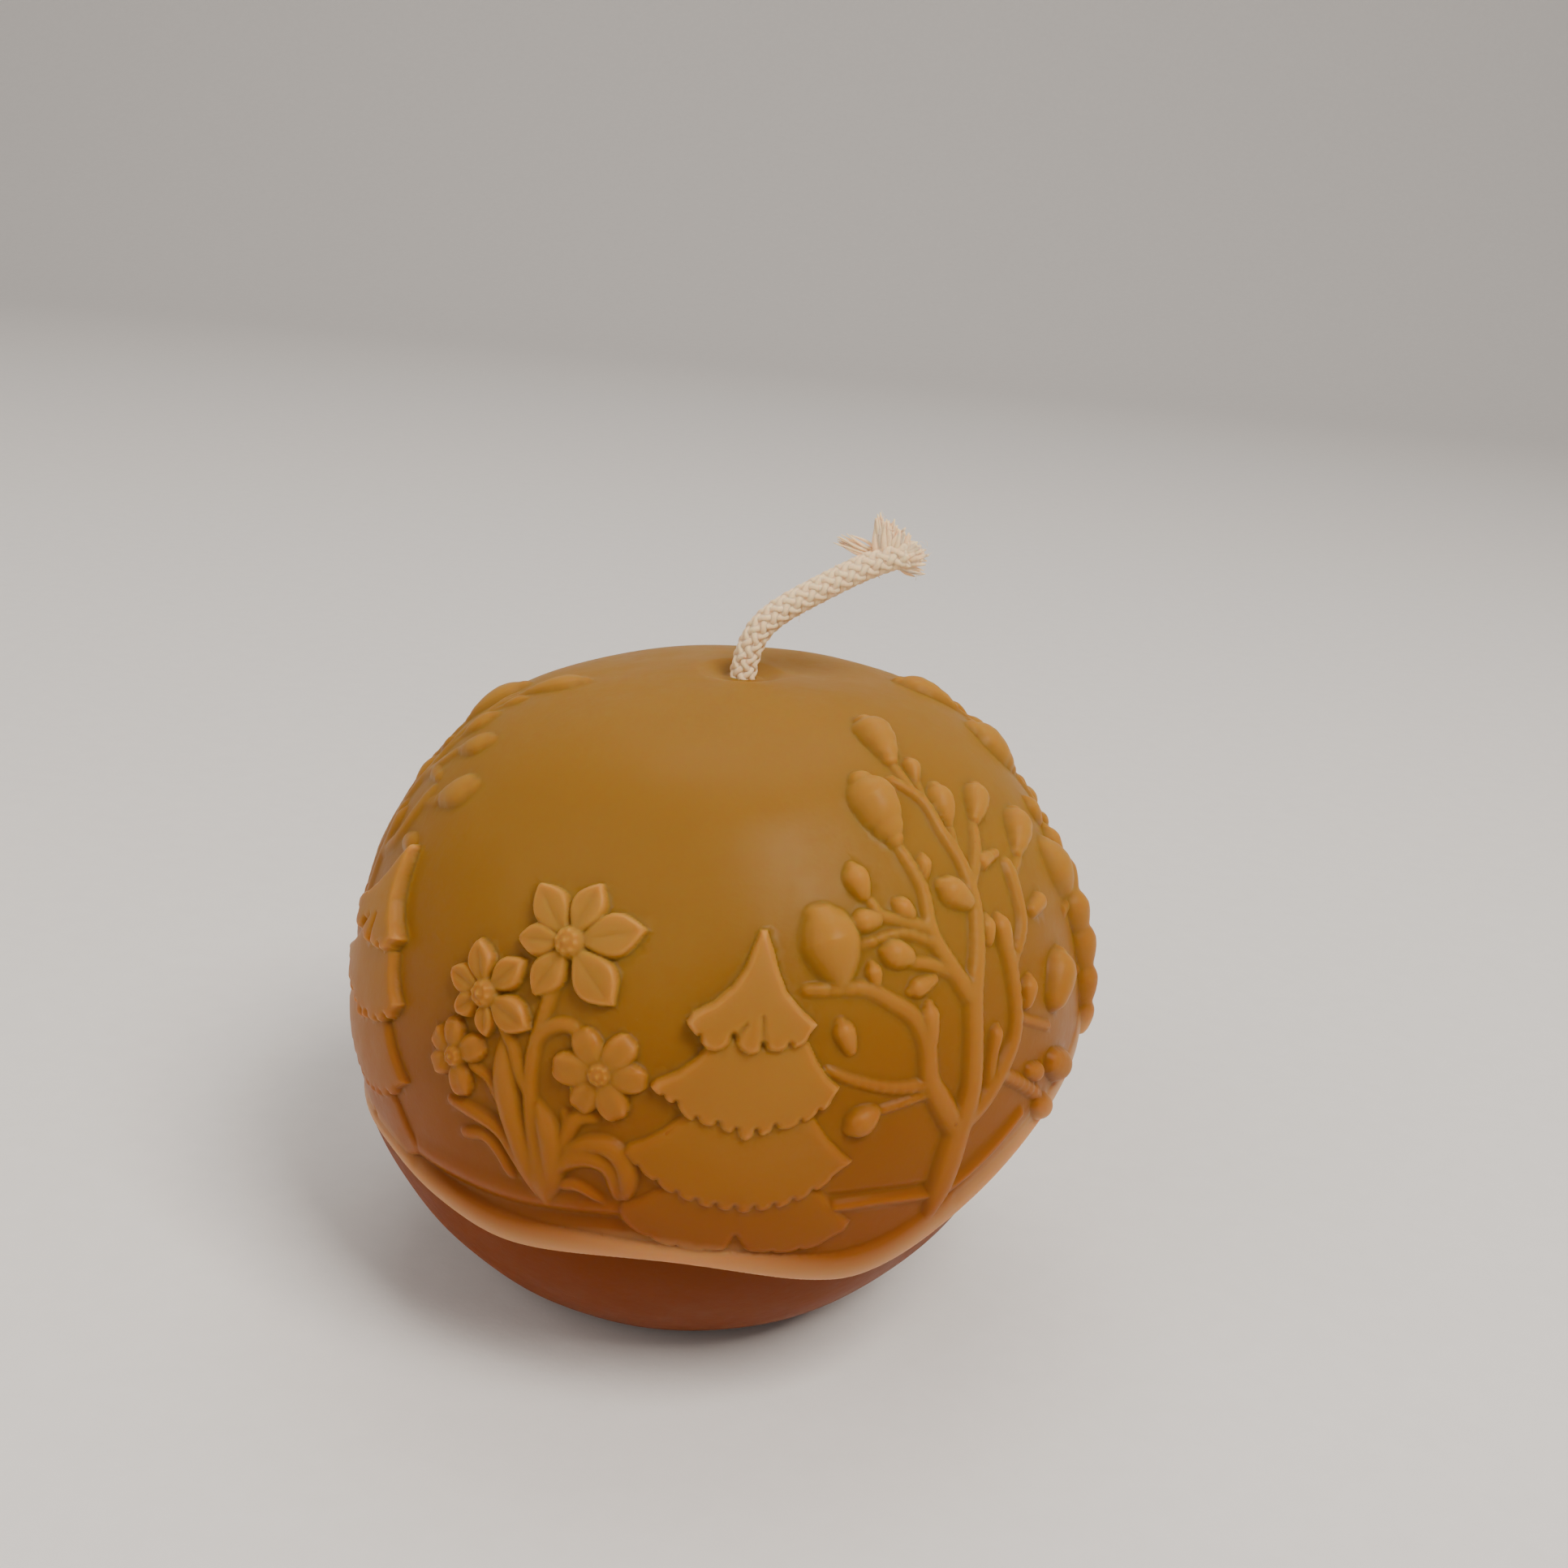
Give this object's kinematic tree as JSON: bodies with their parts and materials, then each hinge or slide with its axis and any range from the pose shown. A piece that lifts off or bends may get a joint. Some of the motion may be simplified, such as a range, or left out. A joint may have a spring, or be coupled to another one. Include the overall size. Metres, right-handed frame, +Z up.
{
  "type": "ball candle",
  "caption": "Cast beeswax ball candle with a winter relief of fir trees, flowers and berry bushes above a snow bank, a flat base and a bent braided cotton wick.",
  "frame": {"origin": "middle of the flat base, on the surface the candle stands on", "axes": "+Z up along the ball's axis, -Y towards the front of the relief, +X towards the side the wick leans to"},
  "size_m": [0.072, 0.0722, 0.0765],
  "materials": {
    "ball_wax": "satin cast beeswax",
    "snow_wax": "satin cast beeswax with bloom",
    "tree_wax": "satin cast beeswax with bloom",
    "flower_wax": "satin cast beeswax with bloom",
    "bush_wax": "satin cast beeswax with bloom",
    "cotton_wick": "undyed braided cotton"
  },
  "bodies": {
    "root": {"bush_far_right_branches": "bush_wax", "bush_far_right_buds": "bush_wax", "bush_left_branches": "bush_wax", "bush_left_buds": "bush_wax", "bush_right_branches": "bush_wax", "bush_right_buds": "bush_wax", "fir_tree_front": "tree_wax", "fir_tree_left": "tree_wax", "fir_tree_rear_left": "tree_wax", "fir_tree_rear_right": "tree_wax", "front_flower_large": "flower_wax", "front_flower_leaves": "flower_wax", "front_flower_left": "flower_wax", "front_flower_round": "flower_wax", "front_flower_small": "flower_wax", "front_flower_stems": "flower_wax", "rear_left_flower_large": "flower_wax", "rear_left_flower_leaves": "flower_wax", "rear_left_flower_left": "flower_wax", "rear_left_flower_round": "flower_wax", "rear_left_flower_small": "flower_wax", "rear_left_flower_stems": "flower_wax", "rear_right_flower_large": "flower_wax", "rear_right_flower_leaves": "flower_wax", "rear_right_flower_left": "flower_wax", "rear_right_flower_round": "flower_wax", "rear_right_flower_small": "flower_wax", "rear_right_flower_stems": "flower_wax", "snow_bank": "snow_wax", "wax_ball": "ball_wax", "wick": "cotton_wick", "wick_fray_end": "cotton_wick", "wick_fray_lower": "cotton_wick", "wick_fray_upper": "cotton_wick"}
  },
  "joints": []
}
